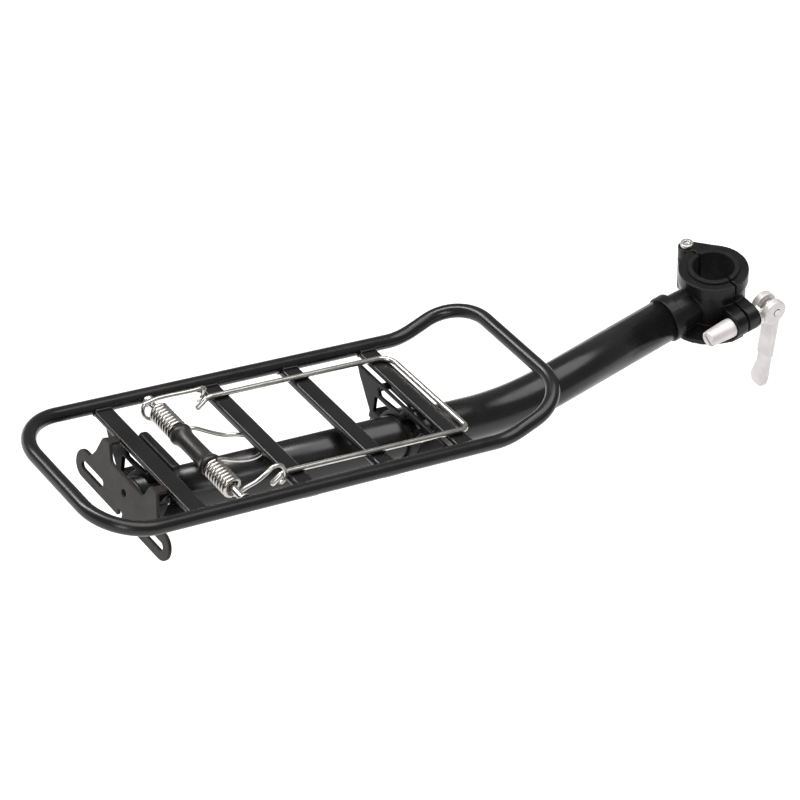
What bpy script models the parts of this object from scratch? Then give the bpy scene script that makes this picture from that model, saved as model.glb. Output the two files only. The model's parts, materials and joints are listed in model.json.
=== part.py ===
"""Seatpost-mounted bicycle rear rack with a spring clip and a quick-release clamp.

+X points forward along the rack, +Y to its left and +Z up, square to the platform. The origin is the
centre of the seatpost clamp's bore. The platform and the beam are laid out in the platform's own frame:
X = 0 on the rear rail's centre line, Z = 0 in the plane of the loop tube. The clamp is laid out in a
frame that leans back with the seatpost: its local Z is the bore's axis.
"""

import math

import bmesh
import bpy
from mathutils import Matrix, Vector

MM = 0.001
GAP = 0.3 * MM  # between neighbouring solids

# Frames
CLAMP_X = 539.4 * MM  # clamp centre in the platform's frame
CLAMP_Z = 35.7 * MM
CLAMP_LEAN = math.radians(17)

# Platform loop
RAIL_Y = 62.4 * MM
LOOP_R = 5 * MM
REAR_CORNER_R = 35 * MM
FRONT_CORNER_R = 30 * MM
RAMP_X = 312 * MM
RAMP_BEND_R = 45 * MM
FRONT_RAIL_X = 359 * MM
RAMP_ANGLE = math.radians(28)

# Crossbars: centre along X, width, thickness
DECK_TOP = 0.2 * MM
REAR_BAR = (68 * MM, 14 * MM, 4 * MM)
BAR_2 = (151.2 * MM, 14 * MM, 6 * MM)
BAR_3 = (215.9 * MM, 14 * MM, 6 * MM)
FRONT_BAR = (281 * MM, 14.5 * MM, 4 * MM)

# Beam
BEAM_R = 15.5 * MM
BEAM_WALL = 2 * MM
BEAM_Z = -31 * MM
BEAM_REAR_X = 60 * MM
BEAM_CORNER_X = 372 * MM
BEAM_BEND_R = 200 * MM
BEAM_ANGLE = math.radians(20.5)
BEAM_RISE = 135 * MM  # from the bend's corner to the tube's front end

# Brackets
REAR_BRACKET_X = 74 * MM
FRONT_BRACKET_X = 277 * MM
WEB_T = 3 * MM
WEB_BACK = 6.5 * MM  # the web's middle lies this far behind the pinch bolt
BAND_T = 3 * MM
BAND_W = 16 * MM
EAR_W = 12 * MM
PINCH_ANGLE = math.radians(31)  # the pinch bolt's place round the beam, from the top towards -Y
PINCH_RADIUS = 22.5 * MM
PINCH_R = 2.75 * MM
STRAP_SCREW_Y = 23.5 * MM
STRAP_SCREW_R = 2.4 * MM
FOOT_Z = -32.5 * MM

# Tail-light plate
PLATE_X = 53 * MM
PLATE_T = 2.5 * MM

# Spring clip
ROD_X = 102 * MM
ROD_Z = -0.8 * MM
ROD_R = 2.5 * MM
WIRE_R = 1.4 * MM
COIL_R = 5.9 * MM
COIL_IN = 21 * MM
COIL_OUT = 43.5 * MM
BAIL_R = 1.9 * MM
BAIL_Y = 44 * MM
BAIL_FRONT_X = 289 * MM
BAIL_Z = DECK_TOP + GAP + BAIL_R

# Seatpost clamp, in its own frame
COLLAR_R = 23.3 * MM
COLLAR_H = 38 * MM
FLANGE_R = 25 * MM  # the collar's thicker upper end
SEAT_R = 17.8 * MM  # the collar's bore, which holds the shims
SHIM_OUT = 17.5 * MM
BORE_R = 15 * MM
SPLIT = 0.75 * MM
HINGE_Y = 30 * MM
KNUCKLE_R = 6.3 * MM
KNUCKLE_HALF = 9 * MM
PIN_R = 2.5 * MM
LUG_T = 10 * MM
LUG_R = 9.5 * MM
SKEWER_Y = -33.4 * MM
SKEWER_Z = -8 * MM
SKEWER_R = 2.5 * MM
NUT_BACK = -32 * MM
NUT_SLOT_TURN = math.radians(34)
CAM_X = 25 * MM
CAM_R = 9.6 * MM
CAM_OFFSET = 1.5 * MM
CAM_HALF_W = 8 * MM
EYE_HALF_W = 2.5 * MM
LEVER_TIP = (16.6 * MM, -79.5 * MM)
ARM_OUT = 3 * MM  # the lever's arm lies this far outside the line from the pin to LEVER_TIP

# Finishes: base colour, roughness, metallic
BLACK_PAINT = ((0.012, 0.012, 0.013), 0.35, 0.2)
BRIGHT_STEEL = ((0.62, 0.61, 0.58), 0.25, 1.0)
ALUMINIUM = ((0.8, 0.79, 0.78), 0.35, 1.0)
BLACK_PLASTIC = ((0.02, 0.018, 0.017), 0.5, 0.0)
RUBBER = ((0.02, 0.02, 0.02), 0.8, 0.0)

X_AXIS = Vector((1, 0, 0))
Y_AXIS = Vector((0, 1, 0))
Z_AXIS = Vector((0, 0, 1))


# ---------------------------------------------------------------- scene and objects


def start_scene():
    for obj in list(bpy.data.objects):
        bpy.data.objects.remove(obj, do_unlink=True)
    parts = bpy.data.collections.new("rear_rack")
    cutters = bpy.data.collections.new("cutters")
    bpy.context.scene.collection.children.link(parts)
    bpy.context.scene.collection.children.link(cutters)
    return parts, cutters


PARTS, CUTTERS = start_scene()


def empty(name, location, parent=None, rotation=(0, 0, 0)):
    obj = bpy.data.objects.new(name, None)
    obj.empty_display_size = 0.02
    obj.location = location
    obj.rotation_euler = rotation
    obj.parent = parent
    PARTS.objects.link(obj)
    return obj


PLATFORM = empty("platform_frame", (-CLAMP_X, 0, -CLAMP_Z))
CLAMP = empty("clamp_frame", (0, 0, 0), rotation=(0, -CLAMP_LEAN, 0))
CLIP_PIVOT = empty("clip_pivot", (ROD_X, 0, ROD_Z), PLATFORM)
JAW_PIVOT = empty("jaw_pivot", (0, HINGE_Y, 0), CLAMP)
CAM_PIVOT = empty("cam_pivot", (CAM_X, SKEWER_Y, SKEWER_Z), CLAMP)
NUT_PIVOT = empty("nut_pivot", (0, SKEWER_Y, SKEWER_Z), CLAMP)


def paint(obj, finish):
    """Gives the object its own Principled material."""
    colour, roughness, metallic = finish
    material = bpy.data.materials.new(obj.name + "_material")
    material.use_nodes = True
    shader = material.node_tree.nodes["Principled BSDF"]
    shader.inputs["Base Color"].default_value = (*colour, 1)
    shader.inputs["Roughness"].default_value = roughness
    shader.inputs["Metallic"].default_value = metallic
    obj.data.materials.clear()
    obj.data.materials.append(material)


def place(name, data, parent, location=(0, 0, 0), rotation=(0, 0, 0)):
    """A solid in the parts collection. Its location is in its parent's frame."""
    obj = bpy.data.objects.new(name, data)
    obj.location = location
    obj.rotation_euler = rotation
    obj.parent = parent
    PARTS.objects.link(obj)
    return obj


def mesh_from(bm, name):
    bmesh.ops.recalc_face_normals(bm, faces=bm.faces)
    mesh = bpy.data.meshes.new(name)
    bm.to_mesh(mesh)
    bm.free()
    return mesh


def turn_to(axis):
    """The rotation that brings local Z onto the axis."""
    return Vector(axis).to_track_quat("Z", "Y").to_euler()


def box(name, parent, low, high):
    low, high = Vector(low), Vector(high)
    bm = bmesh.new()
    bmesh.ops.create_cube(bm, size=1)
    bmesh.ops.scale(bm, vec=high - low, verts=bm.verts)
    return place(name, mesh_from(bm, name), parent, (low + high) / 2)


def rod(name, parent, start, end, radius, end_radius=None, sides=24):
    """A cylinder or a cone from start to end."""
    start, end = Vector(start), Vector(end)
    bm = bmesh.new()
    bmesh.ops.create_cone(
        bm,
        cap_ends=True,
        segments=sides,
        radius1=radius,
        radius2=radius if end_radius is None else end_radius,
        depth=(end - start).length,
    )
    return place(name, mesh_from(bm, name), parent, (start + end) / 2, turn_to(end - start))


def turned(name, parent, profile, location=(0, 0, 0), axis=Z_AXIS, sides=24):
    """A solid of revolution. The profile's (radius, height) points run down its outer side."""
    mesh = bpy.data.meshes.new(name)
    points = [(radius, 0, height) for radius, height in profile]
    count = len(points)
    closed = profile[0][0] > 0
    edges = [(i, i + 1) for i in range(count - 1)]
    if closed:
        edges.append((count - 1, 0))
    mesh.from_pydata(points, edges, [])
    obj = place(name, mesh, parent, location, turn_to(axis))
    screw = obj.modifiers.new("turn", "SCREW")
    screw.steps = sides
    screw.render_steps = sides
    screw.use_merge_vertices = True
    screw.merge_threshold = 1e-6
    return obj


def settled(obj):
    """Moves the object's place into its mesh, so that its origin lies on its parent's."""
    turn = obj.rotation_euler.to_matrix().to_4x4()
    obj.data.transform(Matrix.Translation(obj.location) @ turn)
    obj.location = (0, 0, 0)
    obj.rotation_euler = (0, 0, 0)
    return obj


def bevelled(obj, width, segments=2, angle=40):
    bevel = obj.modifiers.new("edges", "BEVEL")
    bevel.width = width
    bevel.segments = segments
    bevel.limit_method = "ANGLE"
    bevel.angle_limit = math.radians(angle)
    return obj


def combine(target, operation, tools):
    """Adds one Boolean modifier for each tool, and puts the tools away."""
    for tool in tools:
        boolean = target.modifiers.new(tool.name, "BOOLEAN")
        boolean.operation = operation
        boolean.object = tool
        boolean.solver = "EXACT"
        PARTS.objects.unlink(tool)
        CUTTERS.objects.link(tool)
        tool.hide_render = True
        tool.display_type = "WIRE"
    return target


def add(target, *tools):
    return combine(target, "UNION", tools)


def cut(target, *tools):
    return combine(target, "DIFFERENCE", tools)


def finish(obj, look, smooth=35):
    """Smooth shading on a mesh, and the part's own material."""
    if obj.type == "MESH" and not any(m.type == "SCREW" for m in obj.modifiers):
        obj.data.shade_smooth()
        obj.data.set_sharp_from_angle(angle=math.radians(smooth))
    paint(obj, look)
    return obj


# ---------------------------------------------------------------- paths and curves


def rounded_path(corners, closed=False, step=math.radians(10)):
    """Points of a line through the (point, radius) corners, with an arc at each one that has a radius."""
    points = []
    count = len(corners)
    for i, (corner, radius) in enumerate(corners):
        corner = Vector(corner)
        at_end = not closed and i in (0, count - 1)
        if at_end or radius == 0:
            points.append(corner)
            continue
        back = (Vector(corners[i - 1][0]) - corner).normalized()
        ahead = (Vector(corners[(i + 1) % count][0]) - corner).normalized()
        turn = math.pi - back.angle(ahead)
        centre = corner + (back + ahead).normalized() * radius / math.cos(turn / 2)
        start = corner + back * radius * math.tan(turn / 2) - centre
        axis = back.cross(start).normalized()
        steps = max(2, round(turn / step))
        for k in range(steps + 1):
            points.append(centre + Matrix.Rotation(turn * k / steps, 3, axis) @ start)
    return points


def smooth_path(knots, per_span=4):
    """Catmull-Rom points through the knots."""
    knots = [Vector(knot) for knot in knots]
    ends = [2 * knots[0] - knots[1]] + knots + [2 * knots[-1] - knots[-2]]
    points = []
    for a, b, c, d in zip(ends, ends[1:], ends[2:], ends[3:]):
        for k in range(per_span):
            t = k / per_span
            points.append(
                0.5 * (2 * b + (c - a) * t + (2 * a - 5 * b + 4 * c - d) * t**2 + (3 * b - a - 3 * c + d) * t**3)
            )
    points.append(knots[-1])
    return points


def helix(centre, radius, y_start, y_end, angle_start, angle_end, per_turn=10):
    """Points of a coil round a line along Y. The angle is measured from +X towards +Z."""
    steps = round(abs(angle_end - angle_start) / math.tau * per_turn)
    points = []
    for k in range(steps + 1):
        t = k / steps
        angle = angle_start + (angle_end - angle_start) * t
        offset = Vector((radius * math.cos(angle), y_start + (y_end - y_start) * t, radius * math.sin(angle)))
        points.append(Vector(centre) + offset)
    return points


def wire(name, parent, points, radius, closed=False, resolution=2, twist="MINIMUM", caps=True):
    """A round bar along the points."""
    curve = bpy.data.curves.new(name, "CURVE")
    curve.dimensions = "3D"
    curve.twist_mode = twist
    spline = curve.splines.new("POLY")
    spline.points.add(len(points) - 1)
    for spline_point, point in zip(spline.points, points):
        spline_point.co = (*point, 1)
        spline_point.radius = 1
    spline.use_cyclic_u = closed
    curve.bevel_depth = radius
    curve.bevel_resolution = resolution
    curve.use_fill_caps = caps and not closed
    spline.use_smooth = True
    return place(name, curve, parent)


def outline_plate(name, parent, outlines, thickness, location, rotation):
    """A flat plate from closed 2D outlines: the first is its edge, the others are holes."""
    curve = bpy.data.curves.new(name, "CURVE")
    curve.dimensions = "2D"
    curve.fill_mode = "BOTH"
    curve.extrude = thickness / 2
    for outline in outlines:
        spline = curve.splines.new("POLY")
        spline.points.add(len(outline) - 1)
        for spline_point, point in zip(spline.points, outline):
            spline_point.co = (point[0], point[1], 0, 1)
        spline.use_cyclic_u = True
    return to_mesh(place(name, curve, parent, location, rotation))


def to_mesh(obj):
    """Replaces a curve object by a closed mesh object of the same name."""
    bpy.context.view_layer.update()
    graph = bpy.context.evaluated_depsgraph_get()
    mesh = bpy.data.meshes.new_from_object(obj.evaluated_get(graph))
    bm = bmesh.new()
    bm.from_mesh(mesh)
    bmesh.ops.remove_doubles(bm, verts=bm.verts, dist=1e-6)
    bmesh.ops.recalc_face_normals(bm, faces=bm.faces)
    bm.to_mesh(mesh)
    bm.free()
    name, parent = obj.name, obj.parent
    location, rotation = obj.location.copy(), obj.rotation_euler.copy()
    bpy.data.objects.remove(obj, do_unlink=True)
    return place(name, mesh, parent, location, rotation)


def flat(corners, step=math.radians(15)):
    """A closed 2D outline with rounded corners, from (y, z, radius) in millimetres."""
    path = rounded_path([((y * MM, z * MM, 0), radius * MM) for y, z, radius in corners], True, step)
    return [(point.x, point.y) for point in path]


# A flat outline's x and y become the frame's Y and Z, and its thickness runs along X.
ACROSS = (math.pi / 2, 0, math.pi / 2)


# ---------------------------------------------------------------- platform


def platform_loop():
    rise = (FRONT_RAIL_X - RAMP_X) * math.tan(RAMP_ANGLE)
    left = [
        ((0, RAIL_Y, 0), REAR_CORNER_R),
        ((RAMP_X, RAIL_Y, 0), RAMP_BEND_R),
        ((FRONT_RAIL_X, RAIL_Y, rise), FRONT_CORNER_R),
    ]
    right = [((x, -y, z), radius) for (x, y, z), radius in reversed(left)]
    loop = wire("platform_loop", PLATFORM, rounded_path(left + right, closed=True), LOOP_R, True, 4, "Z_UP")
    finish(loop, BLACK_PAINT)


def crossbar(name, bar):
    """A flattened bar between the rails, its ends hollowed to fit them."""
    x, width, thickness = bar
    solid = box(name, PLATFORM, (x - width / 2, -RAIL_Y, DECK_TOP - thickness), (x + width / 2, RAIL_Y, DECK_TOP))
    bevelled(solid, 0.35 * thickness, 3)
    for side in (-1, 1):
        ends = ((x - width, side * RAIL_Y, 0), (x + width, side * RAIL_Y, 0))
        cut(solid, rod(f"{name}_rail_{side}", PLATFORM, *ends, LOOP_R + GAP, sides=16))
    finish(solid, BLACK_PAINT)


def tail_light_plate():
    """A flat plate with two slotted lobes and two tabs whose tongues reach forward to the rear crossbar."""
    half = [(0, -12, 0), (19, -12, 4), (24, -0.5, 2), (32, -0.5, 3), (36.5, -14, 4), (41, -21.5, 3)]
    half += [(55.5, -21.5, 9.5), (55.5, -41.5, 9.5), (2.2, -41.5, 0.6), (2.2, -36.5, 0)]
    other = [(-y, z, radius) for y, z, radius in reversed(half[1:])]
    slots = []
    for side in (-1, 1):
        corners = [(side * y, z, 2.9) for y, z in ((22.5, -29), (48.5, -29), (48.5, -35), (22.5, -35))]
        slots.append(flat(corners, math.radians(30)))
    hole = flat([(y, z - 22.6, 2.6) for y, z in ((-2.61, -2.61), (2.61, -2.61), (2.61, 2.61), (-2.61, 2.61))])
    outline = flat(half + other)
    plate = outline_plate("tail_light_plate", PLATFORM, [outline, *slots, hole], PLATE_T, (PLATE_X, 0, 0), ACROSS)
    bar_x, bar_width, _ = REAR_BAR
    for side in (-1, 1):
        inner, outer = sorted((side * 24.8 * MM, side * 31.2 * MM))
        low = (PLATE_X - 0.9 * MM, inner, -3.3 * MM)
        high = (bar_x - bar_width / 2 - GAP, outer, -0.8 * MM)
        add(plate, box(f"tail_light_tongue_{side}", PLATFORM, low, high))
    finish(plate, BLACK_PAINT)


# ---------------------------------------------------------------- brackets


def round_beam(x, angle, radius):
    """A point round the beam at the angle from its top towards -Y."""
    return Vector((x, -radius * math.sin(angle), BEAM_Z + radius * math.cos(angle)))


def beam_arc(start, end, radius, step=math.radians(12)):
    """2D points of an arc round the beam, in millimetres, with the angles in degrees from the top towards -Y."""
    start, end = math.radians(start), math.radians(end)
    steps = max(2, round(abs(end - start) / step))
    arc = []
    for k in range(steps + 1):
        point = round_beam(0, start + (end - start) * k / steps, radius)
        arc.append((point.y, point.z))
    return arc


def sector(name, x, start, end, inner, outer, width):
    """Part of a ring round the beam."""
    outline = beam_arc(start, end, outer) + beam_arc(end, start, inner)
    return outline_plate(name, PLATFORM, [outline], width, (x, 0, 0), ACROSS)


def tangent_block(name, x, offset, length, inner, outer, width):
    """A block at an offset along the pinch bolt's line, from the inner to the outer distance off the beam's axis."""
    block = box(name, PLATFORM, (-width / 2, -length / 2, inner), (width / 2, length / 2, outer))
    middle = (inner + outer) / 2
    along = Vector((0, -math.cos(PINCH_ANGLE), -math.sin(PINCH_ANGLE)))
    block.location = round_beam(x, PINCH_ANGLE, middle) + along * offset
    block.rotation_euler = (PINCH_ANGLE, 0, 0)
    return block


def pinch_line(x, start, end):
    """Two points on the pinch bolt's axis."""
    along = Vector((0, -math.cos(PINCH_ANGLE), -math.sin(PINCH_ANGLE)))
    middle = round_beam(x, PINCH_ANGLE, PINCH_RADIUS)
    return middle + along * start, middle + along * end


def bracket(prefix, x, pads):
    """The upper half: a web with legs and windows, a half band on the beam, an ear, a pad and its ribs."""
    seat = BEAM_R + GAP
    top = -4.2
    name = f"{prefix}_bracket"
    web = [(52, top, 1), (46.5, -11, 4), (29, -28, 2), (29, FOOT_Z / MM, 0.6), (17, FOOT_Z / MM, 0)]
    near = [(-4, -14.5, 0), (-6.5, -8.2, 0), (-27, -8.2, 2), (-29.5, -12, 2), (-25, -26.5, 1)]
    near += [(-28, -28.5, 1.5), (-46.5, -11, 4), (-52, top, 1)]
    outline = flat(web + near)
    oval = flat([(27.5, -5.8, 2), (22.5, -12.5, 2.5), (-0.5, -10.8, 2), (-3.5, -5.8, 1.5)])
    triangle = flat([(26.5, -14.8, 1), (9.5, -14.8, 0.6), (15.5, -20, 0.6), (18.6, -26, 0.8), (25, -26, 1)])
    middle = (x - WEB_BACK, 0, 0)
    body = outline_plate(name, PLATFORM, [outline], WEB_T, middle, ACROSS)
    for number, window in enumerate((oval, triangle)):
        cut(body, outline_plate(f"{name}_window_{number}", PLATFORM, [window], 3 * WEB_T, middle, ACROSS))
    band = sector(f"{name}_band", x, 14, -94, seat, seat + BAND_T, BAND_W)
    foot = box(f"{name}_foot", PLATFORM, (x - 6 * MM, 16.6 * MM, FOOT_Z), (x + 6 * MM, 29 * MM, -27 * MM))
    ear = tangent_block(f"{name}_ear", x, -8.4 * MM, 4.2 * MM, 16.5 * MM, 24.8 * MM, EAR_W)
    add(body, band, foot, ear)
    for number, (low, high, edge) in enumerate(pads):
        pad = box(f"{name}_pad_{number}", PLATFORM, Vector(low) * MM, Vector(high) * MM)
        add(body, bevelled(pad, edge * MM))
    beam_ends = ((x - 20 * MM, 0, BEAM_Z), (x + 20 * MM, 0, BEAM_Z))
    cut(body, rod(f"{name}_seat", PLATFORM, *beam_ends, seat, sides=32))
    cut(body, rod(f"{name}_thread", PLATFORM, *pinch_line(x, -15 * MM, 0), PINCH_R + GAP, sides=16))
    screw_hole = ((x, STRAP_SCREW_Y, -36 * MM), (x, STRAP_SCREW_Y, -28.6 * MM))
    cut(body, rod(f"{name}_tapped", PLATFORM, *screw_hole, STRAP_SCREW_R + GAP, sides=16))
    finish(body, BLACK_PAINT)


def strap(prefix, x):
    """The lower half: a band under the beam, with the pinch bolt's ear and a flange for the strap screw."""
    seat = BEAM_R + GAP
    name = f"{prefix}_strap"
    body = sector(name, x, 46, 264, seat, seat + BAND_T, 14 * MM)
    ear = tangent_block(f"{name}_ear", x, 8.4 * MM, 4 * MM, 13 * MM, 27.5 * MM, EAR_W)
    flange_low = (x - 6 * MM, 16.6 * MM, FOOT_Z - 5 * MM)
    flange = box(f"{name}_flange", PLATFORM, flange_low, (x + 6 * MM, 29 * MM, FOOT_Z - 0.6 * MM))
    add(body, ear, flange)
    beam_ends = ((x - 20 * MM, 0, BEAM_Z), (x + 20 * MM, 0, BEAM_Z))
    cut(body, rod(f"{name}_seat", PLATFORM, *beam_ends, seat, sides=32))
    cut(body, rod(f"{name}_bolt_hole", PLATFORM, *pinch_line(x, 0, 20 * MM), PINCH_R + GAP, sides=16))
    screw_hole = ((x, STRAP_SCREW_Y, -45 * MM), (x, STRAP_SCREW_Y, -28 * MM))
    cut(body, rod(f"{name}_screw_hole", PLATFORM, *screw_hole, STRAP_SCREW_R + GAP, sides=16))
    finish(body, BLACK_PAINT)


def socket_screw(name, parent, under_head, tip, radius, head_radius, head_height):
    """A cap screw. under_head is where the head meets its seat, and the shank runs from there to the tip."""
    under_head, tip = Vector(under_head), Vector(tip)
    length = (tip - under_head).length
    edge = 0.5 * MM
    profile = [(0, head_height), (head_radius - edge, head_height), (head_radius, head_height - edge)]
    profile += [(head_radius, 0), (radius, 0), (radius, -length + edge), (radius - edge, -length), (0, -length)]
    screw = turned(name, parent, profile, under_head, under_head - tip, 16)
    direction = (under_head - tip).normalized()
    socket_low = under_head + direction * head_height * 0.4
    socket_high = under_head + direction * (head_height + MM)
    cut(screw, rod(f"{name}_socket", parent, socket_low, socket_high, 0.5 * head_radius, sides=6))
    return finish(screw, BRIGHT_STEEL)


def bracket_fasteners(prefix, x):
    seat, tip = pinch_line(x, 10.7 * MM, -10.2 * MM)
    socket_screw(f"{prefix}_pinch_bolt", PLATFORM, seat, tip, PINCH_R, 4.2 * MM, 3.6 * MM)
    low = (x, STRAP_SCREW_Y, FOOT_Z - 5 * MM - GAP)
    high = (x, STRAP_SCREW_Y, -29 * MM)
    socket_screw(f"{prefix}_strap_screw", PLATFORM, low, high, STRAP_SCREW_R, 4.2 * MM, 4 * MM)


# ---------------------------------------------------------------- beam


def beam_direction():
    return Vector((math.cos(BEAM_ANGLE), 0, math.sin(BEAM_ANGLE)))


def beam_front(distance):
    """A point on the beam's axis, at the distance beyond the tube's front end."""
    return Vector((BEAM_CORNER_X, 0, BEAM_Z)) + beam_direction() * (BEAM_RISE + distance)


def beam():
    path = rounded_path(
        [
            ((BEAM_REAR_X, 0, BEAM_Z), 0),
            ((BEAM_CORNER_X, 0, BEAM_Z), BEAM_BEND_R),
            (beam_front(0), 0),
        ],
        step=math.radians(3.5),
    )
    tube = to_mesh(wire("beam_tube", PLATFORM, path, BEAM_R, resolution=8, twist="Z_UP", caps=False))
    wall = tube.modifiers.new("wall", "SOLIDIFY")
    wall.thickness = BEAM_WALL
    wall.offset = -1
    finish(tube, BLACK_PAINT)

    inside = BEAM_R - BEAM_WALL - GAP
    rim = BEAM_R - 0.2 * MM
    profile = [(0, 2.2 * MM), (rim - MM, 2.2 * MM), (rim, 1.2 * MM), (rim, GAP), (inside, GAP)]
    profile += [(inside, -12 * MM), (inside - 2 * MM, -12 * MM), (inside - 2 * MM, 0), (0, 0)]
    plug = turned("beam_end_plug", PLATFORM, profile, (BEAM_REAR_X, 0, BEAM_Z), -X_AXIS, 24)
    finish(plug, BLACK_PLASTIC)


# ---------------------------------------------------------------- spring clip


def on_pivot(points):
    """The platform-frame points, in the clip pivot's frame."""
    return [Vector(point) - Vector((ROD_X, 0, ROD_Z)) for point in points]


def in_mm(*points):
    return [Vector(point) * MM for point in points]


def spring_seats():
    half = RAIL_Y - LOOP_R - GAP
    bar = rod("spring_rod", PLATFORM, (ROD_X, -half, ROD_Z), (ROD_X, half, ROD_Z), ROD_R, sides=16)
    finish(bar, BRIGHT_STEEL)
    end = COIL_IN - WIRE_R - GAP
    bore = ROD_R + GAP
    side = [(bore, end), (6.9 * MM, end), (7.8 * MM, end - MM), (7.8 * MM, end - 3 * MM)]
    side += [(6.7 * MM, end - 5.5 * MM), (6.1 * MM, end - 11 * MM)]
    other = [(radius, -height) for radius, height in reversed(side)]
    finish(turned("spring_sleeve", PLATFORM, side + other, (ROD_X, 0, ROD_Z), Y_AXIS, 20), BLACK_PLASTIC)


def coils():
    """Both coils are wound the same way: the left one's outer end is on top, the right one's underneath."""
    centre = (ROD_X, 0, ROD_Z)
    top, under = math.radians(90), math.radians(-90)
    inner_left = math.radians(-30)
    turns = 8 * math.tau
    left = helix(centre, COIL_R, COIL_OUT, COIL_IN, top - turns, inner_left)
    right = helix(centre, COIL_R, -COIL_IN, -COIL_OUT, top - turns, under)
    finish(wire("left_spring_coil", PLATFORM, left, WIRE_R), BRIGHT_STEEL)
    finish(wire("right_spring_coil", PLATFORM, right, WIRE_R), BRIGHT_STEEL)


def reaction_loop():
    """The springs' inner ends: one wire from coil to coil that bears on the underside of crossbar 2."""
    knots = in_mm(
        (107.6, 21, -2.8),
        (109.6, 20.7, -0.6),
        (115, 19.6, -0.4),
        (125, 17.6, -4.2),
        (135, 15.6, -7.4),
        (145, 12.5, -7.6),
        (151.5, 8, -7.6),
        (154.5, 2.5, -7.6),
        (154.5, -3, -7.6),
        (151, -8.5, -7.6),
        (144, -12.5, -7.4),
        (136, -15, -6.2),
        (126, -17, -3.4),
        (116, -19, 0.6),
        (108, -20.6, 4.4),
        (103.1, -21, 5.1),
    )
    finish(wire("reaction_loop", PLATFORM, smooth_path(knots, 3), WIRE_R), BRIGHT_STEEL)


def right_arm():
    knots = in_mm(
        (103, -43.5, -6.7),
        (107, -43.9, -5.6),
        (113, -44.4, -2),
        (120, -44.6, 1.2),
        (126, -44.7, 5.8),
        (130, -44.8, 9.6),
        (134.6, -45.2, 10),
        (137.7, -46.2, 7.8),
        (139.2, -47.6, 4),
        (138.4, -48, 0),
        (136, -48, -2.6),
    )
    finish(wire("right_spring_arm", CLIP_PIVOT, on_pivot(smooth_path(knots, 3)), WIRE_R), BRIGHT_STEEL)


def left_arm():
    """The left arm makes one more, wider turn behind the coil before it runs forward over it."""
    start, end = math.radians(81), math.radians(-262)
    steps = 14
    ring = []
    for k in range(steps + 1):
        t = k / steps
        angle = start + (end - start) * t
        radius = COIL_R + 0.6 * MM * t
        x = ROD_X - 8 * MM * t * t + radius * math.cos(angle)
        z = ROD_Z + 0.8 * MM * t + radius * math.sin(angle)
        ring.append(Vector((x, COIL_OUT + 3.3 * MM * t, z)))
    knots = in_mm(
        (101, 46.8, 8.2),
        (110, 46.4, 8.8),
        (122, 45.4, 9.4),
        (130, 44.9, 10),
        (134.6, 45.2, 10),
        (137.7, 46.2, 7.8),
        (139.2, 47.6, 4),
        (138.4, 48, 0),
        (136, 48, -2.6),
    )
    path = ring[:-1] + smooth_path([ring[-1], *knots], 3)
    finish(wire("left_spring_arm", CLIP_PIVOT, on_pivot(path), WIRE_R), BRIGHT_STEEL)


def bail():
    """A U of thicker wire. Its rear ends turn down through the spring arms' hooks."""
    tail = (132.4 * MM, BAIL_Y, -5.8 * MM)
    knee = (140 * MM, BAIL_Y, BAIL_Z)
    corner = (BAIL_FRONT_X, BAIL_Y, BAIL_Z)
    left = [(tail, 0), (knee, 6 * MM), (corner, 10 * MM)]
    right = [((x, -y, z), radius) for (x, y, z), radius in reversed(left[:2])]
    tight = ((BAIL_FRONT_X + 1.5 * MM, -BAIL_Y - 1.5 * MM, BAIL_Z), 5 * MM)
    path = rounded_path([*left, tight, *right], step=math.radians(13))
    finish(wire("bail", CLIP_PIVOT, on_pivot(path), BAIL_R), BRIGHT_STEEL)


# ---------------------------------------------------------------- seatpost clamp


def clamp_tools(prefix, parent, centre):
    """The cutters that both halves of the clamp share. centre is the clamp's centre in the parent's frame."""
    tall = COLLAR_H
    post = (centre - Z_AXIS * tall, centre + Z_AXIS * tall)
    pin = centre + Y_AXIS * HINGE_Y
    skewer = centre + Y_AXIS * SKEWER_Y + Z_AXIS * SKEWER_Z
    return (
        rod(f"{prefix}_seat", parent, *post, SEAT_R, sides=40),
        rod(f"{prefix}_pin_hole", parent, pin - Z_AXIS * tall, pin + Z_AXIS * tall, PIN_R + GAP, sides=16),
        rod(f"{prefix}_skewer_hole", parent, skewer - X_AXIS * tall, skewer + X_AXIS * tall, 3.3 * MM, sides=16),
    )


def lug(name, parent, centre, x_low, x_high):
    """A tongue beside the collar, rounded round the skewer."""
    skewer_y, skewer_z = SKEWER_Y / MM, SKEWER_Z / MM
    reach = LUG_R / MM
    outline = flat(
        [
            (-14, skewer_z + reach + 1.5, 1),
            (skewer_y - reach + 2, skewer_z + reach, 8),
            (skewer_y - reach + 2, skewer_z - reach, 8),
            (-14, -COLLAR_H / 2 / MM, 1),
        ]
    )
    x = (x_low + x_high) / 2
    return outline_plate(name, parent, [outline], x_high - x_low, centre + X_AXIS * x, ACROSS)


def knuckle(name, parent, centre, low, high, side):
    """A hinge knuckle, and a web along the tangent between it and its half of the collar, on that side."""
    pin = centre + Y_AXIS * HINGE_Y
    barrel = rod(name, parent, pin + Z_AXIS * low, pin + Z_AXIS * high, KNUCKLE_R, sides=24)
    collar = (FLANGE_R if low >= KNUCKLE_HALF else COLLAR_R) - 0.1 * MM
    rise = (collar - KNUCKLE_R) / HINGE_Y
    tangent = Vector((math.sqrt(1 - rise**2), rise))
    outer = Vector((0, HINGE_Y)) + tangent * (KNUCKLE_R - 0.1 * MM)
    corners = [(SPLIT, 17.5 * MM), (SPLIT, HINGE_Y), outer, tangent * collar, (14 * MM, 12 * MM)]
    outline = [(side * x, y) for x, y in corners]
    inset = 0.15 * MM
    middle = centre + Z_AXIS * (low + high) / 2
    web = outline_plate(f"{name}_web", parent, [outline], high - low - 2 * inset, middle, (0, 0, 0))
    return barrel, web


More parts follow.
